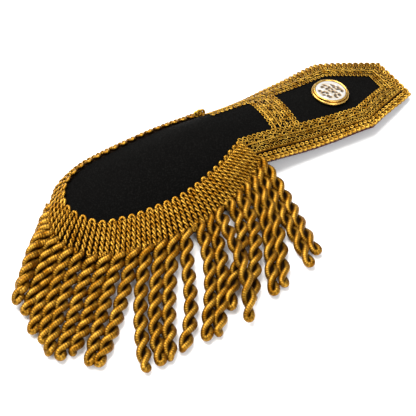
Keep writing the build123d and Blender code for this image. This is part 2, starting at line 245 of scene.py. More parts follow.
# Visible strands from the heading's near end to its far corner. Columns: root as a share of the
# hem's length; reach as a share of the strand length; heading in degrees from -Y towards -X;
# sideways bows at a third and two thirds, as shares of the reach; lifts at a third, two thirds and
# the tip, as shares of the strand thickness; and the twist's angle at the tip in turns.
STRANDS = np.array([
    (0.003, 0.91, 3.5, 0.058, 0.016, 0.07, 0, 0, 0.05),
    (0.022, 0.94, 7, 0.037, 0.024, 0.06, 0, 0, 0.02),
    (0.044, 1.0, 18, 0.089, 0.065, 0.23, 0.05, 0, 0.92),
    (0.067, 1.0, 19, 0.09, 0.052, 0.03, 0, 0, 0.05),
    (0.092, 0.97, 24, 0.092, 0.054, 0.41, 0.23, 0, 0.3),
    (0.119, 0.96, 29, 0.105, 0.036, 0.03, 0, 0, 0.12),
    (0.146, 1.01, 19, 0.034, 0.055, 1.14, 1.13, 0, 0.95),
    (0.172, 1.04, 27, 0.066, 0.052, 0.06, 0, 0, 0.85),
    (0.199, 1.01, 27, 0.062, 0.050, 0.07, 0, 0, 0.08),
    (0.226, 1.04, 32, 0.022, 0.053, 0.12, 0, 0, 0.7),
    (0.252, 1.06, 31, -0.025, -0.022, 0.14, 0, 0, 0.22),
    (0.280, 1.04, 29, -0.04, -0.047, 0.13, 0, 0, 0.04),
    (0.309, 1.05, 29, -0.045, -0.042, 0.12, 0, 0, 0.9),
    (0.336, 0.99, 43, 0.012, 0.022, 0.12, 0, 0, 0.02),
    (0.363, 0.95, 41, -0.02, -0.01, 0.13, 0, 0, 0.1),
    (0.390, 0.86, 44, 0, 0.02, 0.13, 0, 0, 0.8),
    (0.417, 0.88, 42, -0.015, 0, 0.03, 0, 0, 0.97),
    (0.445, 0.87, 40, -0.02, -0.02, 0.06, 0, 0, 0.15),
    (0.468, 0.81, 39, -0.03, -0.02, 0.08, 0, 0, 0.9),
    (0.488, 0.78, 41, -0.04, -0.02, 0.1, 0, 0, 0.05),
    (0.507, 0.68, 45, -0.02, 0.01, 0.3, 0.15, 0, 0.95),
    (0.525, 0.67, 47, -0.04, -0.03, 0.55, 0.45, 0.2, 0.1),
    (0.542, 0.65, 43, -0.045, -0.02, 0.75, 0.8, 0.5, 0.6),
    (0.560, 0.58, 44, -0.01, 0, 0.45, 0.3, 0.1, 0.2),
    (0.580, 0.49, 44, 0.015, 0.015, 0.25, 0.1, 0, 0.85),
    (0.603, 0.42, 43, 0.05, 0.04, 0.1, 0, 0, 0.3),
])

# The far side's strands: first and last root, and first and last heading in degrees
TUCKED_ROOTS = (0.735, 0.985)
TUCKED_HEADINGS = (12, 34)


def spline(knots, values, at):
    """Natural cubic spline through one column of values."""
    run = np.diff(knots)
    rise = np.diff(values) / run
    matrix = np.eye(len(knots))
    right = np.zeros(len(knots))
    for i in range(1, len(knots) - 1):
        matrix[i, i - 1:i + 2] = run[i - 1], 2 * (run[i - 1] + run[i]), run[i]
        right[i] = 6 * (rise[i] - rise[i - 1])
    bend = np.linalg.solve(matrix, right)
    at = np.asarray(at, float)
    i = np.clip(np.searchsorted(knots, at) - 1, 0, len(run) - 1)
    h = run[i]
    b = (at - knots[i]) / h
    a = 1 - b
    curved = (a ** 3 - a) * bend[i] + (b ** 3 - b) * bend[i + 1]
    return a * values[i] + b * values[i + 1] + curved * h ** 2 / 6


def eased(share):
    """From 0 to 1 with soft ends."""
    share = np.clip(share, 0.0, 1.0)
    return share * share * (3 - 2 * share)


def felt_z(x, y):
    """Height of the felt's upper face: its sections are arcs, and its far edge droops past the pad."""
    x = np.asarray(x, float)
    y = np.asarray(y, float)
    place = (x + PAD_REACH) / BODY_LENGTH
    top, sag = (CROWN_HEIGHT * spline(ARCH[:, 0], column, place) for column in ARCH.T[1:])
    radius = (SECTION_REACH ** 2 + sag ** 2) / (2 * sag)
    hang = eased((x - DROOP_START) / DROOP_RISE) * eased((DROOP_END - x) / DROOP_FALL)
    hang = hang * (np.maximum(y - DROOP_SIDE, 0) / DROOP_WIDTH) ** 2
    return top - radius + np.sqrt(radius ** 2 - y ** 2) - FAR_DROOP * hang


def unit(vectors):
    return vectors / np.linalg.norm(vectors, axis=-1, keepdims=True)


def lengths(path):
    """Distance along a path to each of its points."""
    steps = np.linalg.norm(np.diff(path, axis=0), axis=1)
    return np.concatenate([[0.0], np.cumsum(steps)])


def spaced(path, step):
    """The path again, with points at an even step."""
    along = lengths(path)
    count = max(int(round(along[-1] / step)), 2) + 1
    at = np.linspace(0, along[-1], count)
    return np.stack([np.interp(at, along, path[:, i]) for i in range(path.shape[1])], 1)


def smoothed(path, passes):
    """The path with its bends eased and its ends kept."""
    for _ in range(passes):
        path = path.copy()
        path[1:-1] = (path[:-2] + 2 * path[1:-1] + path[2:]) / 4
    return path


def linked(name, data):
    """A new object in the scene."""
    made = bpy.data.objects.new(name, data)
    stage.collection.objects.link(made)
    return made


class Mesh:
    """Collects tubes, sheets and other faces into one mesh, with a thread map in millimetres and a painted
    shade value that is 0 on what stands out and 1 in the hollows, where the materials paint shade."""

    def __init__(self):
        self.points, self.corners, self.sizes, self.thread, self.painted_shade = ([] for _ in range(5))
        self.count = 0

    def put(self, points, faces, thread, painted_shade):
        """Faces are an array of rows of point numbers; thread has one pair for each corner."""
        self.points.append(points)
        self.corners.append(faces.ravel() + self.count)
        self.sizes.append(np.full(len(faces), faces.shape[1]))
        self.thread.append(thread.reshape(-1, 2))
        self.painted_shade.append(painted_shade)
        self.count += len(points)

    def tube(self, path, radius, sides=6, closed=False, outward=UP, shade_weight=1.0):
        """A round tube along a path. Outward points away from the hollows; the sides turned from it get
        painted shade, as much as the given weight.
        """
        n = len(path)
        ahead = unit(np.roll(path, -1, 0) - np.roll(path, 1, 0) if closed else np.gradient(path, axis=0))
        along = lengths(path)
        normal = np.zeros_like(path)
        start = UP
        for i in range(n):
            start = start - ahead[i] * (start @ ahead[i])
            if start @ start < 1e-12:
                start = np.cross(ahead[i], (0.31, 0.95, 0.0))
            start = start / math.sqrt(start @ start)
            normal[i] = start
        other = np.cross(ahead, normal)
        k = np.arange(sides)
        angle = 2 * np.pi * k / sides
        size = np.broadcast_to(np.asarray(radius, float), (n,))[:, None, None]
        ring = np.cos(angle)[:, None] * normal[:, None] + np.sin(angle)[:, None] * other[:, None]
        points = (path[:, None] + ring * size).reshape(-1, 3)
        # Painted shade: the less a side of the ring faces outward, the darker its material paints it.
        facing = (ring * np.broadcast_to(outward, (n, 3))[:, None]).sum(2).ravel()
        painted_shade = shade_weight * np.clip((0.62 - facing) / 1.4, 0, 1) ** 1.1
        rows = n if closed else n - 1
        i = np.arange(rows)[:, None]
        j = (i + 1) % n
        k2 = (k + 1) % sides
        faces = np.stack([i * sides + k, i * sides + k2, j * sides + k2, j * sides + k], -1).reshape(-1, 4)
        step = along[1] - along[0]
        girth = 2 * np.pi * float(np.mean(radius)) / sides
        first = np.stack(np.broadcast_arrays(along[:rows, None], k * girth), -1)
        thread = first[:, :, None] + np.array([(0, 0), (0, girth), (step, girth), (step, 0)])
        self.put(points, faces, thread, painted_shade)
        if not closed:
            for ring_start, order in ((0, k[::-1]), ((n - 1) * sides, k)):
                self.corners.append(order + self.count - len(points) + ring_start)
                self.sizes.append(np.array([sides]))
                self.thread.append(np.zeros((sides, 2)))

    def slab(self, upper, lower, painted_shade=0.0):
        """A closed sheet between two grids of points, with a painted shade value for its points."""
        rows, columns = upper.shape[:2]
        points = np.concatenate([upper.reshape(-1, 3), lower.reshape(-1, 3)])
        number = np.arange(rows * columns).reshape(rows, columns)
        a = number[:-1, :-1].ravel()
        top = np.stack([a, a + columns, a + columns + 1, a + 1], -1)
        shift = rows * columns
        rim = np.concatenate([number[0], number[1:, -1], number[-1, -2::-1], number[-2:0:-1, 0]])
        after = np.roll(rim, -1)
        sides = np.stack([rim, after, after + shift, rim + shift], -1)
        faces = np.concatenate([top, top[:, ::-1] + shift, sides])
        self.put(points, faces, points[faces][..., :2], np.broadcast_to(painted_shade, (len(points),)))

    def object(self, name, material):
        """A Blender object of all that was collected."""
        mesh = bpy.data.meshes.new(name)
        points = np.concatenate(self.points) * MM
        corners = np.concatenate(self.corners)
        sizes = np.concatenate(self.sizes)
        mesh.vertices.add(len(points))
        mesh.vertices.foreach_set("co", points.astype(np.float32).ravel())
        mesh.loops.add(len(corners))
        mesh.loops.foreach_set("vertex_index", corners.astype(np.int32))
        mesh.polygons.add(len(sizes))
        mesh.polygons.foreach_set("loop_start", (np.cumsum(sizes) - sizes).astype(np.int32))
        mesh.update(calc_edges=True)
        layer = mesh.uv_layers.new(name="thread")
        layer.uv.foreach_set("vector", np.concatenate(self.thread).astype(np.float32).ravel())
        # The painted shade goes to a point attribute that the gold and plate materials darken by.
        painted_shade = mesh.attributes.new("painted_shade", "FLOAT", "POINT")
        painted_shade.data.foreach_set("value", np.concatenate(self.painted_shade).astype(np.float32))
        mesh.polygons.foreach_set("use_smooth", np.full(len(sizes), True))
        mesh.materials.append(material)
        made = linked(name, mesh)
        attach(made, "root")
        return made


def helix(centre, offset, offset_high, angle, up=UP):
    """A path that winds round a centre line, and the directions away from that line."""
    ahead = unit(np.gradient(centre, axis=0))
    side = unit(np.cross(ahead, up))
    high = np.cross(side, ahead)
    shift = (offset * np.cos(angle))[:, None] * side + (offset_high * np.sin(angle))[:, None] * high
    return centre + shift, unit(shift)


# Materials

def new_material(name):
    material = bpy.data.materials.new(name)
    material.use_nodes = True
    tree = material.node_tree
    return material, tree, tree.nodes["Principled BSDF"]


def node(tree, kind, **settings):
    made = tree.nodes.new(kind)
    for key, value in settings.items():
        setattr(made, key, value)
    return made


def feed(tree, socket, value):
    """A number, a colour or another node's output into a socket."""
    if isinstance(value, (int, float)):
        socket.default_value = value
    elif isinstance(value, tuple):
        socket.default_value = (*value, 1.0)
    else:
        tree.links.new(value, socket)


def math_node(tree, operation, *values):
    made = node(tree, "ShaderNodeMath", operation=operation)
    for socket, value in zip(made.inputs, values):
        feed(tree, socket, value)
    return made.outputs[0]


def scaled(tree, value, factor, shift=0.0):
    """The value times factor, plus shift."""
    return math_node(tree, "MULTIPLY_ADD", value, factor, shift)


def shade(colour, factor):
    return tuple(factor * part for part in colour)


def noise(tree, scale, detail=3.0, roughness=0.55):
    place = node(tree, "ShaderNodeTexCoord")
    made = node(tree, "ShaderNodeTexNoise")
    for socket, value in (("Scale", scale), ("Detail", detail), ("Roughness", roughness)):
        made.inputs[socket].default_value = value
    tree.links.new(place.outputs["Object"], made.inputs["Vector"])
    return made.outputs["Fac"]


def ramp(tree, factor, stops):
    made = node(tree, "ShaderNodeValToRGB")
    elements = made.color_ramp.elements
    while len(elements) < len(stops):
        elements.new(0.5)
    for element, (position, colour) in zip(elements, stops):
        element.position = position
        element.color = (*colour, 1.0)
    tree.links.new(factor, made.inputs["Fac"])
    return made.outputs["Color"]


def mixed(tree, factor, first, second):
    made = node(tree, "ShaderNodeMix", data_type="RGBA")
    for socket, value in (("Factor", factor), ("A", first), ("B", second)):
        feed(tree, made.inputs[socket], value)
    return made.outputs["Result"]


def dress(tree, shader, colour, rough, height, relief):
    """Colour, roughness and a bump of relief in millimetres, all fed into the shader."""
    made = node(tree, "ShaderNodeBump")
    made.inputs["Strength"].default_value = 1.0
    made.inputs["Distance"].default_value = relief * MM
    feed(tree, made.inputs["Height"], height)
    for socket, value in (("Base Color", colour), ("Roughness", rough), ("Normal", made.outputs["Normal"])):
        feed(tree, shader.inputs[socket], value)


def gold_thread(name, dark, light, roughness, winding, slant, relief):
    """Metal thread wound round a core. Winding is the pitch of its turns and slant how far round the
    cord a turn goes on in that pitch, in millimetres."""
    material, tree, shader = new_material(name)
    thread = node(tree, "ShaderNodeUVMap", uv_map="thread")
    parts = node(tree, "ShaderNodeSeparateXYZ")
    feed(tree, parts.inputs[0], thread.outputs["UV"])
    turns = scaled(tree, parts.outputs["X"], 1 / winding)
    turns = math_node(tree, "MULTIPLY_ADD", parts.outputs["Y"], 1 / slant, turns)
    lines = scaled(tree, math_node(tree, "SINE", scaled(tree, turns, 2 * math.pi)), 0.5, 0.5)
    patches = noise(tree, 260.0)
    fine = noise(tree, 2200.0, 2.0)
    shade_node = node(tree, "ShaderNodeAttribute", attribute_name="painted_shade")
    colour = ramp(tree, patches, [(0.34, dark), (0.68, light)])
    colour = mixed(tree, scaled(tree, lines, -0.42, 0.42), colour, shade(dark, 0.35))
    # Painted shade: the colour goes towards a near-black gold in hollows and on undersides.
    colour = mixed(tree, shade_node.outputs["Fac"], colour, shade(dark, 0.12))
    shader.inputs["Metallic"].default_value = 1.0
    height = math_node(tree, "MULTIPLY_ADD", fine, 0.5, lines)
    dress(tree, shader, colour, scaled(tree, fine, 0.2, roughness), height, relief)
    return material


def felt_material(name, base, light):
    """A short dense nap with scattered paler lint."""
    material, tree, shader = new_material(name)
    fibres = noise(tree, 1500.0, 6.0, 0.7)
    lint = ramp(tree, noise(tree, 1100.0, 3.0, 0.8), [(0.50, (0, 0, 0)), (0.75, (1, 1, 1))])
    colour = mixed(tree, scaled(tree, noise(tree, 110.0), 0.6), base, light)
    colour = mixed(tree, scaled(tree, lint, 0.5), colour, shade(light, 5.0))
    shader.inputs["Specular IOR Level"].default_value = 0.04
    dress(tree, shader, colour, scaled(tree, fibres, 0.08, 0.92), fibres, 0.35)
    return material


def lining_material(name, base):
    """Plain-woven lining: fine crossed threads."""
    material, tree, shader = new_material(name)
    place = node(tree, "ShaderNodeTexCoord")
    parts = node(tree, "ShaderNodeSeparateXYZ")
    feed(tree, parts.inputs[0], place.outputs["Object"])
    pitch = 2 * math.pi / (LINING_THREAD * MM)
    warp, weft = (math_node(tree, "SINE", scaled(tree, parts.outputs[axis], pitch)) for axis in "XY")
    weave = scaled(tree, math_node(tree, "MULTIPLY", warp, weft), 0.5, 0.5)
    patches = noise(tree, 120.0)
    colour = mixed(tree, scaled(tree, patches, 0.6), base, shade(base, 1.8))
    colour = mixed(tree, scaled(tree, weave, 0.3), colour, shade(base, 0.5))
    shader.inputs["Specular IOR Level"].default_value = 0.25
    dress(tree, shader, colour, scaled(tree, patches, 0.2, 0.65), weave, 0.05)
    return material


def metal_material(name, dark, light, roughness):
    """Polished plated metal with faint tarnish and fine scratches."""
    material, tree, shader = new_material(name)
    patches = noise(tree, 350.0, 4.0)
    colour = ramp(tree, patches, [(0.32, dark), (0.68, light)])
    shader.inputs["Metallic"].default_value = 1.0
    dress(tree, shader, colour, scaled(tree, patches, 0.12, roughness), noise(tree, 3500.0, 2.0), 0.01)
    return material


def pierced_material(name):
    """Silvered relief painted darker with its shade value, through gold-brown to near black in its gaps, as
    painted shade; the value is 0 high and 1 low.
    """
    material, tree, shader = new_material(name)
    low = node(tree, "ShaderNodeAttribute", attribute_name="painted_shade")
    # Painted shade: silver on top, gold-brown round the gaps, near black in them.
    colour = ramp(tree, low.outputs["Fac"], [
        (0.10, (0.40, 0.40, 0.40)),
        (0.26, (0.33, 0.29, 0.21)),
        (0.40, (0.24, 0.12, 0.02)),
        (0.55, (0.07, 0.024, 0.004)),
        (0.70, (0.006, 0.0025, 0.001)),
    ])
    stain = noise(tree, 900.0)
    colour = mixed(tree, scaled(tree, stain, 0.15), colour, (0.50, 0.46, 0.38))
    shader.inputs["Metallic"].default_value = 0.2
    dress(tree, shader, colour, scaled(tree, stain, 0.25, 0.35), stain, 0.03)
    return material


felt_black = felt_material("felt_black", (0.0011, 0.0010, 0.0009), (0.0024, 0.0023, 0.0021))
lining_red = lining_material("lining_red", (0.045, 0.004, 0.004))
gold_strand = gold_thread("gold_strand", (0.20, 0.077, 0.003), (0.45, 0.243, 0.030), 0.36, 1.20, 12.0, 0.10)
gold_rib = gold_thread("gold_rib", (0.25, 0.100, 0.005), (0.54, 0.300, 0.038), 0.32, 0.90, 2.4, 0.08)
gold_lace = gold_thread("gold_lace", (0.27, 0.115, 0.006), (0.76, 0.46, 0.070), 0.26, 0.45, 1.6, 0.04)
# A darker copy of the lace gold, for threads that lie under others: painted shade.
gold_shaded = gold_thread("gold_shaded", (0.12, 0.050, 0.003), (0.26, 0.120, 0.012), 0.40, 0.60, 0.9, 0.03)
# Near black, for the cores that fill the gaps between plies and ribs: painted shade.
shadow_core = felt_material("shadow_core", (0.0035, 0.0014, 0.0005), (0.007, 0.003, 0.001))
gilt = metal_material("gilt", (0.50, 0.27, 0.040), (0.74, 0.48, 0.130), 0.20)
face_plate = pierced_material("face_plate")


# Outlines

def meet(first, second):
    """Where two straight lines cross, each given by two points."""
    (a, b), (c, d) = np.array(first), np.array(second)
    return a + (b - a) * np.linalg.solve(np.column_stack([b - a, c - d]), c - a)[0]


def inset_line(start, end, distance):
    """The straight line from start to end, moved sideways to its right."""
    ahead = unit(np.subtract(end, start))
    shift = distance * np.array([ahead[1], -ahead[0]])
    return start + shift, end + shift


def strap_corners(side_inset, front_inset):
    """Neck, shoulder and tip corners on the +Y side, moved in from the strap's outline."""
    neck = (-NECK_REACH, NECK_WIDTH / 2)
    shoulder = (SHOULDER_REACH, SHOULDER_WIDTH / 2)
    tip = (TIP_REACH, TIP_WIDTH / 2)
    side = inset_line(neck, shoulder, side_inset)
    chamfer = inset_line(shoulder, tip, front_inset)
    front = inset_line(tip, (TIP_REACH, 0), front_inset)
    neck_end = ((-NECK_REACH, 0), (-NECK_REACH, NECK_WIDTH))
    return [meet(neck_end, side), meet(side, chamfer), meet(chamfer, front)]


def strap_half_width(x, inset):
    return np.interp(x, *zip(*strap_corners(inset, inset)))


# Heading of the fringe

edge_xy = np.stack([HEADING[:, 0] * PAD_REACH, HEADING[:, 1] * PAD_WIDTH / 2], 1)
edge_knots = lengths(edge_xy)
EDGE_LENGTH = edge_knots[-1]


def sheet_point(along, share):
    """A point of the heading's upper side: along its looped edge in mm, and a share of the rib."""
    x, y, lean, spread, droop, turn = (spline(edge_knots, column, along) for column in HEADING.T)
    x = x * PAD_REACH
    y = y * PAD_WIDTH / 2
    lean = np.radians(lean)
    start_z = felt_z(x, y) + HEADING_LIFT
    end_z = droop * HEM_HEIGHT
    turn_z = start_z - (TURN_FALL - turn) / 2 * (start_z - end_z)
    bent = 2 * share * (1 - share)
    run = spread * HEADING_WIDTH * (bent * turn + share ** 2)
    z = (1 - share) ** 2 * start_z + bent * turn_z + share ** 2 * end_z
    px = x - run * np.sin(lean)
    py = y - run * np.cos(lean)
    end = np.minimum(px - PAD_CENTRE, 0) / PAD_ROUND
    past = np.maximum(np.sqrt(end ** 2 + (py / (PAD_WIDTH / 2)) ** 2) - 1, 0) * PAD_WIDTH / 2
    over = felt_z(px, np.clip(py, -FELT_SIDE, FELT_SIDE)) + OVER_LIFT - OVER_SLOPE * past
    z = np.where(np.abs(py) < FELT_SIDE, np.maximum(z, over), z)
    return np.stack([px, py, z], -1)


def sheet_at(along, down, sink):
    """Points of the heading: along its edge and down its ribs in mm, sunk below its upper side."""
    along = np.asarray(along, float)
    down = np.asarray(down, float)
    shares = np.linspace(0, 1, 25)
    grid = sheet_point(along[:, None], shares[None, :])
    steps = np.linalg.norm(np.diff(grid, axis=1), axis=2)
    run = np.concatenate([np.zeros((len(along), 1)), np.cumsum(steps, 1)], 1)
    share = np.array([np.interp(d, r, shares) + max(d - r[-1], 0) / r[-1] for d, r in zip(down, run)])
    step = 0.02
    point = sheet_point(along, share)
    down_step = sheet_point(along, share + step) - sheet_point(along, share - step)
    along_step = sheet_point(along + 0.4, share) - sheet_point(along - 0.4, share)
    up = unit(np.cross(down_step, along_step))
    up = up * np.sign(up[:, 2:3] + 1e-9)
    return point - up * np.asarray(sink)[..., None], up, run[:, -1]


def rib_length(along):
    return sheet_at([along], [0.0], 0)[2][0]


LOOPS = int(round(EDGE_LENGTH / LOOP_PITCH))
loop_ends = EDGE_LENGTH * np.linspace(0, 1, LOOPS + 1) ** LOOP_CROWDING


# An arch's leg under the ribs. Columns: run below the arch and depth below the ribs' upper side, in mm.
ARCH_LEG = np.array([(0.5, 0.9), (1.8, 1.8), (3.2, 2.1)])

# The loop at a rib's foot. Columns: across from its middle and down from the rib's end, in mm.
LADDER = np.array([(-0.5, -2.6), (-0.5, 0.3), (-0.42, 1.0), (0.0, 2.0), (0.42, 1.0), (0.5, 0.3), (0.5, -2.6)])


def add_arch(mesh, middle, half):
    """The arch of cord that two ribs share, its legs running down under them."""
    radius = min(half, LOOP_RADIUS)
    low = radius + LOOP_CORD
    turn = np.linspace(0, np.pi, 13)
    across = np.concatenate([[half, half, radius], radius * np.cos(turn), [-radius, -half, -half]])
    down = np.concatenate([low + ARCH_LEG[::-1, 0], low - radius * np.sin(turn), low + ARCH_LEG[:, 0]])
    sink = np.concatenate([ARCH_LEG[::-1, 1], 0.6 - 0.3 * np.sin(turn), ARCH_LEG[:, 1]])
    route = spaced(np.column_stack([across, down, sink]), 0.36)
    centre, up, _ = sheet_at(middle + route[:, 0], route[:, 1], route[:, 2])
    inside, _, _ = sheet_at(np.full(len(centre), middle), np.full(len(centre), low), 1.6)
    outward = unit(unit(centre - inside) + up * 0.9)
    mesh.tube(smoothed(centre, 1), LOOP_CORD, 8, outward=outward, shade_weight=0.9)


def add_rib(mesh, along, rng):
    """A rib: a cord of two plies, whose turns lie level with those of its neighbours."""
    length = rib_length(along)
    down = np.arange(RIB_START, length + 0.3, RIB_STEP)
    along = along + RIB_SWAY * np.sin(down * 1.3 + rng.uniform(0, 6))
    centre, up, _ = sheet_at(along, down, RIB_PLY - 0.1)
    turn = 2 * np.pi * ((length - down) / RIB_TWIST + rng.uniform(-0.07, 0.07))
    offset = RIB_PLY * 0.84
    swell = 1 + 0.1 * np.sin(2 * turn + 0.8) + rng.uniform(-0.06, 0.06, len(down))
    for side in (0, 1):
        path, away = helix(centre, offset, offset, side * np.pi - turn, up)
        path[:, 2] = np.maximum(path[:, 2], RIB_PLY + 0.1)
        mesh.tube(path, RIB_PLY * swell, outward=unit(away + 0.6 * up))


def add_ladder(mesh, along):
    """The narrow loop at a rib's foot, with a rung, whose end hangs over the strands."""
    length = rib_length(along)
    part = min(1.0, length / LADDER_FULL_RIB)
    outline = np.column_stack([LADDER[:, 0], length + part * LADDER[:, 1]])
    for route in (outline, np.array([(-0.5, length), (0.5, length)])):
        route = spaced(route, CORD_STEP)
        path, up, _ = sheet_at(along + route[:, 0], route[:, 1], 0.1)
        path[:, 2] = np.maximum(path[:, 2], 0.6)
        mesh.tube(path, LADDER_CORD, 5, outward=up, shade_weight=0.8)


def make_heading():
    """Arches of cord along the edge, ribs, the loops at their feet and the near-black core sheet behind them,
    painted shade between the ribs.
    """
    loops, ribs, ladder, core = Mesh(), Mesh(), Mesh(), Mesh()
    rng = np.random.default_rng(SEED)
    for start, end in zip(loop_ends[:-1], loop_ends[1:]):
        middle = (start + end) / 2
        half = (end - start) / 4
        add_arch(loops, middle, half)
        for side in (-1, 1):
            add_rib(ribs, middle + side * half, rng)
        add_ladder(ladder, middle + half)
    # The core: a near-black sheet behind the ribs that stands as painted shade between them.
    count = int(EDGE_LENGTH / 0.9)
    along = np.linspace(0.3, EDGE_LENGTH - 0.3, count)
    foot = sheet_at(along, np.zeros(count), 0)[2]
    rows = [sheet_at(along, foot * share, CORE_SINK) for share in np.linspace(*CORE_SHARES, 29)]
    upper = np.stack([row[0] for row in rows], 1)
    lower = np.stack([row[0] - row[1] * CORE_THICKNESS for row in rows], 1)
    core.slab(upper, lower)
    return [
        ribs.object("heading_ribs", gold_rib),
        loops.object("heading_loops", gold_rib),
        ladder.object("heading_ladder", gold_rib),
        core.object("heading_core", shadow_core),
    ]


# The strands' roots lie inside the heading, along its hem
hem_points = sheet_point(edge_knots, np.full(len(edge_knots), ROOT_SHARE)) - ROOT_SINK * UP
hem_run = lengths(hem_points[:, :2])


def hem_point(share):
    run = share * hem_run[-1]
    return np.array([np.interp(run, hem_run, column) for column in hem_points.T])


def strand_route(row, length, scale):
    """Centre line of a strand from inside the hem to its free end."""
    root, heading, bow_near, bow_far, lift_near, lift_far, lift_tip = row
    start = hem_point(root)
    turn = math.radians(heading)
    out = np.array([-math.sin(turn), -math.cos(turn), 0])
    side = np.array([-out[1], out[0], 0])
    rest = STRAND_REST * scale
    flat = np.array([start[0], start[1], rest])
    knots = [start]
    for share, bow, lift in ((1 / 3, bow_near, lift_near), (2 / 3, bow_far, lift_far), (1, 0, lift_tip)):
        knots.append(flat + (out * share + side * bow) * length + UP * STRAND_THICKNESS * lift)
    path = np.vander(np.linspace(0, 1, 121), 4) @ np.polyfit(np.linspace(0, 1, 4), knots, 3)
    path[:, 2] = np.maximum(path[:, 2], rest)
    return smoothed(spaced(path, 0.5), 6)


def add_strand(mesh, core, route, turns, tip_turn, ease, scale):
    """Two plies wound round a thin near-black core that stands as painted shade between them, one cord that
    turns back at the tip in a small loop.
    """
    run = lengths(route)
    ply = PLY_RADIUS * scale
    body = run <= run[-1] - (PLY_OFFSET + PLY_RADIUS) * 0.8 * scale
    centre = route[body]
    at = run[body]
    left = 1 - at / at[-1]
    angle = 2 * np.pi * (tip_turn - turns * left * (1 + ease * left) / (1 + ease))
    thin = 1 - (1 - TIP_CLOSING) * np.clip(1 - (at[-1] - at) / TIP_CLOSING_RUN, 0, 1)
    grow = np.clip(0.5 + at / ROOT_SWELL, 0, 1) * thin * scale
    wide = PLY_OFFSET * grow
    high = PLY_OFFSET_HIGH * grow
    plies = [helix(centre, wide, high, side * np.pi - angle) for side in (0, 1)]
    end = centre[-1]
    ahead = unit(centre[-1] - centre[-3])
    arm = plies[0][0][-1] - end
    turn = np.linspace(0, np.pi, 11)[1:-1, None]
    loop = end + arm * np.cos(turn) + ahead * np.linalg.norm(arm) * TIP_POINT * np.sin(turn)
    path = np.concatenate([plies[0][0], loop, plies[1][0][::-1]])
    outward = np.concatenate([plies[0][1], unit(loop - end), plies[1][1][::-1]])
    both = smoothed(spaced(np.column_stack([path, outward]), 0.72 * scale), 2)
    path = both[:, :3]
    path[:, 2] = np.maximum(path[:, 2], ply + 0.05)
    along = lengths(path)
    near_root = np.minimum(along, along[-1] - along)
    near_tip = np.abs(along - along[-1] / 2)
    taper = 1 - (1 - TIP_TAPER) * np.clip(1 - near_tip / TIP_TAPER_RUN, 0, 1)
    radius = ply * np.clip(0.85 + near_root / 10.0, 0, 1) * taper
    mesh.tube(path, radius, 12, outward=unit(both[:, 3:]), shade_weight=0.92)
    # The near-black core: painted shade seen between the plies.
    core.tube(centre[::3], CORE_RADIUS * scale)


def make_strands():
    """The visible strands and the far side's strands, tucked under the pad."""
    shown, tucked, core = Mesh(), Mesh(), Mesh()
    rng = np.random.default_rng(SEED)
    for row in STRANDS:
        route = strand_route(np.delete(row[:8], 1), row[1] * STRAND_LENGTH, 1.0)
        wanted = np.interp(row[0], [0.22, 0.30], [NEAR_TURNS, FAR_TURNS]) * min(row[1] + 0.1, 1.0)
        turns = row[8] + 0.5 * round((wanted - row[8]) / 0.5)
        ease = np.interp(row[0], [0.10, 0.25], [NEAR_EASE, FAR_EASE])
        add_strand(shown, core, route, turns + rng.uniform(-0.04, 0.04), row[8], ease, 1.0)
    for part in np.linspace(0, 1, TUCKED_STRANDS):
        root = np.interp(part, [0, 1], TUCKED_ROOTS)
        heading = np.interp(part, [0, 1], TUCKED_HEADINGS)
        route = strand_route((root, heading, 0, 0, 0, 0, 0), TUCKED_LENGTH, TUCKED_SCALE)
        add_strand(tucked, core, route, TUCKED_TURNS, rng.uniform(), FAR_EASE, TUCKED_SCALE)
    return [
        shown.object("fringe_strands", gold_strand),
        tucked.object("tucked_strands", gold_strand),
        core.object("strand_cores", shadow_core),
    ]


# Felt and lining

def felt_half_width(x):
    """Half the felt's width: the pad's oval end and straight sides, then the strap."""
    tuck = FELT_TUCK * eased((TUCK_START - x) / TUCK_RUN)
    end = np.clip((PAD_CENTRE - x) / (PAD_ROUND + FELT_TUCK), 0, 0.99999)
    pad = (PAD_WIDTH / 2 + tuck) * np.sqrt(1 - end ** 2)
    strap = strap_half_width(x, FELT_INSET)
    blend = eased((x + NECK_REACH + 1.0) / 3.0)
    return pad * (1 - blend) + strap * blend


def rounding(distance):
    """How far a rounded edge lies below the flat, this far in from it."""
    inside = np.clip(FELT_ROUNDING - distance, 0, FELT_ROUNDING)
    return FELT_ROUNDING - np.sqrt(FELT_ROUNDING ** 2 - inside ** 2)


def sheet_grid(x, half, z_of, thickness, columns):
    """Upper and lower grid of an arched sheet with rounded edges."""
    margin = np.array([0.0, 0.1, 0.3, FELT_ROUNDING])
    inner = np.linspace(-1, 1, columns)
    rows_y = []
    for h in half:
        m = np.minimum(margin, h * 0.4 * margin / FELT_ROUNDING)
        rows_y.append(np.concatenate([-h + m[:-1], inner * (h - m[-1]), (h - m[:-1])[::-1]]))
    y = np.array(rows_y)
    xx = np.repeat(x[:, None], y.shape[1], 1)
    edge = half[:, None] - np.abs(y)
    drop = np.maximum(np.maximum(rounding(edge), rounding(x[-1] - xx)), rounding(xx - x[0]))
    z = z_of(xx, y)
    upper = np.stack([xx, y, z - drop], -1)
    lower = np.stack([xx, y, z - thickness + np.minimum(drop, thickness * 0.35)], -1)
    return upper, lower


def felt_surface(x, y):
    """The felt's upper face with its slow unevenness."""
    slow = 0.12 * np.sin(x * 0.11 + 1.0) * np.cos(y * 0.13) + 0.07 * np.sin(x * 0.23 + y * 0.19)
    return felt_z(x, y) + slow


def make_felt():
    tip = strap_corners(FELT_INSET, FELT_INSET)[2]
    round_end = -PAD_REACH - FELT_TUCK + END_RUN * (1 - np.cos(np.linspace(0, np.pi / 2, 30)))
    straight = np.arange(round_end[-1] + FELT_STEP, tip[0] - 1.2, FELT_STEP)
    x = np.concatenate([round_end[1:], straight, tip[0] - np.array([0.8, 0.3, 0.1, 0.0])])
    mesh = Mesh()
    mesh.slab(*sheet_grid(x, felt_half_width(x), felt_surface, FELT_THICKNESS, 49))
    made = mesh.object("felt_top", felt_black)
    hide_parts("cloth_top")
    return made


first_edge = sheet_point(0.0, 0.0)
first_foot = sheet_point(0.0, 1.0)


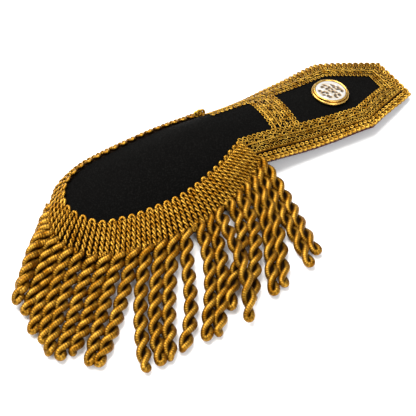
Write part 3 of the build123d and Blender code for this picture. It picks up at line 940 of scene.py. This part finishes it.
def make_lining():
    """Lining under the strap, out to the gimp's rim; it stops at the fringe on the near side."""
    neck, shoulder, tip = strap_corners(LINING_INSET, LINING_INSET)
    x = np.concatenate([np.linspace(neck[0], shoulder[0], 60), np.linspace(shoulder[0], tip[0], 30)[1:]])
    half = strap_half_width(x, LINING_INSET)
    rib_x = [-NECK_REACH, first_edge[0], first_foot[0]]
    near = np.minimum(half, np.interp(x, rib_x, [half[0] * 0.5, -first_edge[1], half.max()]))
    v = np.linspace(-1, 1, 41)
    y = np.where(v < 0, v * near[:, None], v * half[:, None])
    xx = np.repeat(x[:, None], y.shape[1], 1)
    z = felt_z(xx, y) - FELT_THICKNESS - LAYER_GAP
    mesh = Mesh()
    mesh.slab(np.stack([xx, y, z], -1), np.stack([xx, y, z - LINING_THICKNESS], -1))
    made = mesh.object("strap_lining", lining_red)
    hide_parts("backing")
    return made


# Lace

class Band:
    """A band of lace in its own measures: along its middle line, and inward from its outer edge, in mm."""

    def __init__(self, outer, inner, narrowing):
        self.outer = np.array(outer)
        self.shift = np.array(inner) - self.outer
        self.narrowing = narrowing
        self.knots = lengths(self.outer + self.shift * LACE_MIDDLE)
        self.length = self.knots[-1]

    def plan(self, along, inward):
        i = np.clip(np.searchsorted(self.knots, along) - 1, 0, len(self.knots) - 2)
        part = ((along - self.knots[i]) / (self.knots[i + 1] - self.knots[i]))[:, None]
        start = self.outer[i] + self.shift[i] * inward[:, None]
        end = self.outer[i + 1] + self.shift[i + 1] * inward[:, None]
        return start + (end - start) * part

    def holds(self, along):
        return along.min() > LACE_MARGIN and along.max() < self.length - LACE_MARGIN

    def laid(self, along, inward, lift):
        """Points of the band, lifted above the felt."""
        along, inward, lift = np.broadcast_arrays(np.asarray(along, float), inward, lift)
        plan = self.plan(along, inward)
        cross_end = CROSS_REACH + CROSS_WIDTH
        far = np.clip((-cross_end - plan[:, 0]) / (NECK_REACH - cross_end), 0, 1)
        narrow = 1 - self.narrowing * far * (plan[:, 1] > 0)
        plan = self.plan(along, inward * narrow)
        return np.column_stack([plan, felt_z(plan[:, 0], plan[:, 1]) + LAYER_GAP + lift])


def border_corners(inward):
    """Corners of a line of the border, from the near end round the tip to the far end."""
    neck, shoulder, tip = strap_corners(inward, inward * LACE_FRONT_REACH / LACE_REACH)
    rib = ((first_edge[0] + 0.5, first_edge[1]), (first_foot[0] + 0.5, first_foot[1]))
    near_shoulder = (shoulder[0], -shoulder[1])
    start = meet(rib, (near_shoulder, (neck[0], -neck[1])))
    return [start, near_shoulder, (tip[0], -tip[1]), tip, shoulder, neck]


def cross_corners(inward):
    """Ends of a line of the cross band, whose outer edge is towards the pad."""
    neck, shoulder, _ = strap_corners(LACE_REACH, LACE_FRONT_REACH)
    x = inward - CROSS_REACH - CROSS_WIDTH
    half = np.interp(x, *zip(neck, shoulder)) + 0.6
    return [(x, -half), (x, half)]


def cord(mesh, band, inward, radius, lift, wave=0.0):
    """A cord along the whole band, which may sway with the rings beside it."""
    along = np.linspace(LACE_MARGIN, band.length - LACE_MARGIN, int(band.length / CORD_STEP))
    path = band.laid(along, inward + wave * np.sin(2 * np.pi * along / WAVE_PITCH), lift)
    mesh.tube(path, radius, shade_weight=LACE_SHADE_WEIGHT)


def braid(mesh, band, inward, ply, pitch, lift):
    """A fine cord of two plies."""
    count = int(band.length / 0.4)
    centre = band.laid(np.linspace(LACE_MARGIN, band.length - LACE_MARGIN, count), inward, lift)
    at = lengths(centre)
    for side in (0, 1):
        path, away = helix(centre, ply * 0.95, ply * 0.95, side * np.pi - 2 * np.pi * at / pitch)
        mesh.tube(path, ply, 5, outward=unit(away + UP))


def rings(mesh, band, inward, ring, radius, pitch):
    """A row of small closed loops."""
    count = int(round(band.length / pitch))
    for middle in (np.arange(count) + 0.5) * band.length / count:
        along = np.clip(middle + ring * np.cos(CIRCLE), 0.02, band.length - 0.02)
        path = band.laid(along, inward + ring * 1.05 * np.sin(CIRCLE), RING_LIFT + 0.12 * np.cos(CIRCLE))
        mesh.tube(path, radius, closed=True, shade_weight=LACE_SHADE_WEIGHT)


def fans(mesh, band, inward, reach, shift):
    """Half scrolls that stand on a cord: an arc round a small eye, with a curl between neighbours."""
    count = int(round(band.length / FAN_PITCH))
    step = band.length / count
    turn = np.linspace(0, np.pi, 15)
    whole = np.linspace(0, 2 * np.pi, 11)[:-1]
    for middle in (np.arange(-1, count + 1) + 0.5 + shift) * step:
        along = middle + abs(reach) * np.cos(turn)
        if band.holds(along):
            path = band.laid(along, inward + reach * np.sin(turn), FAN_LIFT + 0.15 + FAN_RISE * np.sin(turn))
            mesh.tube(path, FAN_ARC, shade_weight=LACE_SHADE_WEIGHT)
        for offset, ring, out in ((0.3, 0.56, 0.66), (step / 2, 0.50, 1.3)):
            along = middle + offset + ring * np.cos(whole)
            if band.holds(along):
                across = inward + math.copysign(1, reach) * (out + ring * np.sin(whole))
                mesh.tube(band.laid(along, across, FAN_LIFT), FAN_RING, closed=True, shade_weight=LACE_SHADE_WEIGHT)


# Rows of lace, in mm. Columns of rings: place inward, radius, radius of the cord and pitch; of fans:
# place inward, reach, and shift as a share of the pitch; of cords: place inward, radius, lift and sway.
BORDER_RINGS = ((13.8, 0.99, 0.37, 3.0), (6.1, 0.88, 0.33, 2.85))
BORDER_FANS = ((9.6, 2.25, 0.0), (9.6, -2.2, 0.5))
BORDER_CORDS = ((9.6, 0.42, 0.95), (12.55, 0.25, 0.35, 0.15))
CROSS_RINGS = ((1.25, 0.92, 0.36, 2.7), (13.6, 0.88, 0.33, 2.85), (17.0, 0.92, 0.36, 2.7))
CROSS_FANS = ((5.4, -2.2, 0.5), (5.4, 2.2, 0.0), (10.2, -2.2, 0.25), (10.2, 2.2, 0.75))
CROSS_CORDS = ((2.5, 0.38, 0.75), (5.4, 0.36, 0.85), (10.2, 0.36, 0.85), (14.9, 0.30, 0.4))


def make_lace(name, band, under, ring_rows, fan_rows, cord_rows):
    """A band of lace, with the line that lies between its threads in a darker copy of the gold, as painted
    shade.
    """
    threads = Mesh()
    for draw, rows in ((rings, ring_rows), (fans, fan_rows), (cord, cord_rows)):
        for row in rows:
            draw(threads, band, *row)
    made = [threads.object(f"{name}_threads", gold_lace), under.object(f"{name}_under", gold_shaded)]
    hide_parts(name)


# The gimp's loops. Columns: place inward, radius, radius of the cord, lift and shift along, in mm.
GIMP_LOOPS = ((1.6, 1.08, 0.70, -0.75, 0.0), (3.7, 0.80, 0.46, 0.0, 0.5))

# The knot at the heading's far end, and its loops. Columns: shift along the strap and rise, in mm.
KNOT_PLACE = np.array([2.6, -1.6, 0.3])
KNOT_LOOPS = ((-1.9, 0.5), (0.0, 0.9), (2.1, 0.3), (1.1, -0.9), (-1.0, -0.9))


def outward_shift(band, along, inward):
    """The gimp stands out further on the far side and round the tip than on the near side."""
    near = np.clip((-NEAR_SIDE - band.plan(along, inward)[:, 1]) / NEAR_RUN, 0, 1)
    return inward - GIMP_OUT + GIMP_NEAR_IN * near


def make_edge_gimp(band):
    """Gimp along the strap's outer edge, laid over a core in the darker gold that stands as painted shade
    under the loops, with the knot at the heading's far end.
    """
    count = int(band.length / GIMP_PITCH)
    mesh, core = Mesh(), Mesh()
    for middle in (np.arange(count) + 0.5) * band.length / count:
        for inward, ring, radius, lift, shift in GIMP_LOOPS:
            along = np.clip(middle + shift + ring * np.cos(CIRCLE), LACE_MARGIN, band.length - LACE_MARGIN)
            across = outward_shift(band, along, inward + ring * np.sin(CIRCLE))
            path = band.laid(along, across, lift + 0.45 * np.cos(CIRCLE + 0.6))
            mesh.tube(path, radius, 7, closed=True)
    far_end = sheet_point(EDGE_LENGTH - 0.6, 0.25) + KNOT_PLACE
    for shift, rise in KNOT_LOOPS:
        ring = [1.35 * np.cos(CIRCLE) + shift, 0.8 * np.sin(CIRCLE) + 0.4, 1.3 * np.sin(CIRCLE) + rise]
        mesh.tube(far_end + np.stack(ring, 1), KNOT_CORD, 7, closed=True, shade_weight=0.8)
    along = np.linspace(0.2, band.length - 0.2, 400)
    across = outward_shift(band, along, np.full(400, 2.0))
    core.tube(spaced(band.laid(along, across, -1.25), 0.8), GIMP_CORE, 7)
    made = [mesh.object("edge_gimp", gold_lace), core.object("edge_gimp_core", gold_shaded)]
    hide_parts("edge_cord")


# Button

button_low, button_high = (np.array(v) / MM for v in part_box("button_face"))

# Gaps of the pierced plate. Columns: place across and towards the viewer as shares of the plate's radius,
# half sizes in mm and the turn in degrees.
GAPS = [
    (-0.36, -0.55, 1.0, 0.6, 30),
    (-0.55, -0.36, 0.8, 0.7, 0),
    (-0.07, -0.36, 0.5, 0.7, 20),
    (-0.22, -0.18, 0.9, 0.6, -20),
    (0.12, -0.65, 0.6, 0.5, 40),
    (0.25, -0.55, 0.8, 0.7, 0),
    (0.56, -0.45, 0.7, 0.5, 0),
    (0.29, -0.33, 0.7, 0.5, 20),
    (0.60, -0.24, 1.3, 0.5, -15),
    (0.11, -0.17, 0.6, 0.45, 40),
    (0.84, -0.08, 0.6, 0.9, 20),
    (-0.78, 0.09, 0.7, 0.6, 0),
    (-0.09, 0.06, 0.5, 0.45, 0),
    (0.19, 0.12, 0.8, 0.8, 0),
    (0.40, 0.15, 0.6, 0.5, 0),
    (-0.52, 0.25, 1.1, 0.5, -25),
    (-0.26, 0.30, 0.7, 0.7, 0),
    (0.61, 0.39, 0.8, 0.8, 0),
    (0.31, 0.48, 0.55, 1.0, 10),
    (-0.50, 0.53, 0.7, 0.5, 10),
    (-0.21, 0.61, 0.6, 0.7, 0),
    (-0.07, 0.71, 0.8, 0.55, -20),
    (0.38, 0.68, 0.7, 0.4, 20),
]


def make_button_face():
    """Pierced scrollwork plate as a relief: scrolls round the centre, with gaps between."""
    tilt = math.radians(BUTTON_TILT)
    axis = np.array([math.sin(tilt), 0, math.cos(tilt)])
    along = np.array([math.cos(tilt), 0, -math.sin(tilt)])
    across = np.array([0.0, 1.0, 0.0])
    step = np.linspace(-1, 1, FACE_CELLS + 1)
    gx, gy = np.meshgrid(step, step, indexing="ij")
    size = np.hypot(gx, gy)
    scale = np.where(size > 0, np.maximum(np.abs(gx), np.abs(gy)) / np.maximum(size, 1e-9), 1)
    x, y = ((g * scale).ravel() * FACE_RADIUS for g in (gx, gy))
    turn = math.radians(FACE_TURN)
    right = x * math.cos(turn) + y * math.sin(turn)
    near = x * math.sin(turn) - y * math.cos(turn)
    gap = np.zeros(len(x))
    for across_share, near_share, half_long, half_short, angle in GAPS:
        lean = math.radians(angle)
        dx = right - across_share * FACE_RADIUS * GAP_SPREAD
        dy = near - near_share * FACE_RADIUS * GAP_SPREAD
        long_part = (dx * math.cos(lean) + dy * math.sin(lean)) / half_long / GAP_GROWTH
        short_part = (dy * math.cos(lean) - dx * math.sin(lean)) / half_short / GAP_GROWTH
        gap = np.maximum(gap, np.exp(-0.75 * (long_part ** 2 + short_part ** 2) ** 0.95))
    radial = np.hypot(x, y)
    ridge = np.abs(radial - FACE_RADIUS + RIM_RIDGE)
    t = np.linspace(0, 1, 80)
    for quarter in range(4):
        swirl = math.radians(90 * quarter + 20)
        curve = swirl + math.pi * (0.9 - 2.4 * t)
        size = CURL_SIZE - CURL_CLOSING * t
        curl_x = CURL_REACH * math.cos(swirl) + size * np.cos(curve)
        curl_y = CURL_REACH * math.sin(swirl) + size * np.sin(curve)
        ridge = np.minimum(ridge, np.hypot(right[:, None] - curl_x, near[:, None] - curl_y).min(1))
    raised = np.exp(-(ridge / RIDGE_WIDTH) ** 4) * (1 - gap)
    pierced = GAP_DEPTH * gap * (radial < FACE_RADIUS - 0.4)
    height = FACE_CROWN * (1 - (radial / FACE_RADIUS) ** 2) + RIDGE_HEIGHT * raised - pierced
    # Painted shade: least on the raised scrolls, more on the plate, most round and in the gaps; the underside
    # is painted near black.
    painted_shade = np.clip(0.17 - 0.15 * raised + 0.95 * gap, 0, 1)
    flat = (button_low + button_high) / 2 - axis * FACE_BASE + x[:, None] * along + y[:, None] * across
    grid = (FACE_CELLS + 1, FACE_CELLS + 1, 3)
    upper = (flat + (height + FACE_LIFT)[:, None] * axis).reshape(grid)
    lower = (flat - FACE_BASE * axis).reshape(grid)
    mesh = Mesh()
    mesh.slab(upper, lower, np.concatenate([painted_shade, np.full(len(painted_shade), 0.9)]))
    made = mesh.object("button_scrollwork", face_plate)
    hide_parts("button_face")


# Everything in place

heading = make_heading()
strands = make_strands()
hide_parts("fringe")

felt = make_felt()
lining = make_lining()

border_band = Band(border_corners(0.0), border_corners(1.0), FAR_NARROWING)
border_under = Mesh()
braid(border_under, border_band, 4.85, 0.33, 2.2, 0.40)
make_lace("strap_lace", border_band, border_under, BORDER_RINGS, BORDER_FANS, BORDER_CORDS)

cross_band = Band(cross_corners(0.0), cross_corners(1.0), 0.0)
cross_under = Mesh()
cord(cross_under, cross_band, 15.7, 0.30, 0.3)
make_lace("cross_lace", cross_band, cross_under, CROSS_RINGS, CROSS_FANS, CROSS_CORDS)

make_edge_gimp(border_band)
make_button_face()

for name in ("button_rim", "button_shank"):
    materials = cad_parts[name].data.materials
    materials.clear()
    materials.append(gilt)


# Floor, light and camera

FLOOR_HALF = 3.0
WORLD_STRENGTH = 0.54
AZIMUTH = 30.441
ELEVATION = 48.003
TARGET = Vector((-107.48, -38.822, 9.0)) * MM
DISTANCE = 600 * MM
LENS = 94.8

# Lights. Columns: name; place in metres to the camera's right, away from it and up; size, power, colour.
LIGHTS = (
    ("key", -0.50, 0.55, 1.45, 1.6, 63.0, (1.0, 0.985, 0.96)),
    ("fill", 0.45, -0.90, 0.80, 0.8, 10.0, (0.97, 0.98, 1.0)),
)


def make_floor():
    material, tree, shader = new_material("floor_white")
    grain = noise(tree, 60.0)
    colour = ramp(tree, grain, [(0.0, (0.94, 0.94, 0.94)), (1.0, (0.96, 0.96, 0.96))])
    tree.links.new(colour, shader.inputs["Base Color"])
    shader.inputs["Roughness"].default_value = 0.8
    shader.inputs["Specular IOR Level"].default_value = 0.1
    mesh = bpy.data.meshes.new("floor")
    corners = [(x * FLOOR_HALF, y * FLOOR_HALF, 0) for x, y in ((-1, -1), (1, -1), (1, 1), (-1, 1))]
    mesh.from_pydata(corners, [], [(0, 1, 2, 3)])
    mesh.materials.append(material)
    floor = linked("floor", mesh)


def aimed(name, data, place, look):
    """A light or camera in its place, turned to look along a direction."""
    made = linked(name, data)
    made.location = place
    made.rotation_mode = "QUATERNION"
    made.rotation_quaternion = look.to_track_quat("-Z", "Y")
    return made


azimuth = math.radians(AZIMUTH)
elevation = math.radians(ELEVATION)
away = Vector((math.sin(azimuth), math.cos(azimuth), 0))
right = Vector((math.cos(azimuth), -math.sin(azimuth), 0))
look = away * math.cos(elevation) - Vector((0, 0, math.sin(elevation)))

camera_data = bpy.data.cameras.new("camera")
camera_data.lens = LENS
camera_data.sensor_width = 36.0
camera_data.clip_start = 0.01
stage.camera = aimed("camera", camera_data, TARGET - look * DISTANCE, look)

make_floor()
centre_of_all = (cad_bounds[0] + cad_bounds[1]) / 2
for name, side, back, height, size, power, colour in LIGHTS:
    light = bpy.data.lights.new(name, "AREA")
    light.shape = "SQUARE"
    light.size = size
    light.energy = power
    light.color = colour
    place = centre_of_all + right * side + away * back + Vector((0, 0, height))
    aimed(name, light, place, centre_of_all - place)

world = bpy.data.worlds.new("studio")
world.use_nodes = True
background = world.node_tree.nodes["Background"].inputs
background["Color"].default_value = (1.0, 1.0, 1.0, 1.0)
background["Strength"].default_value = WORLD_STRENGTH
stage.world = world
view = stage.view_settings
view.view_transform = "Standard"
view.look = "None"
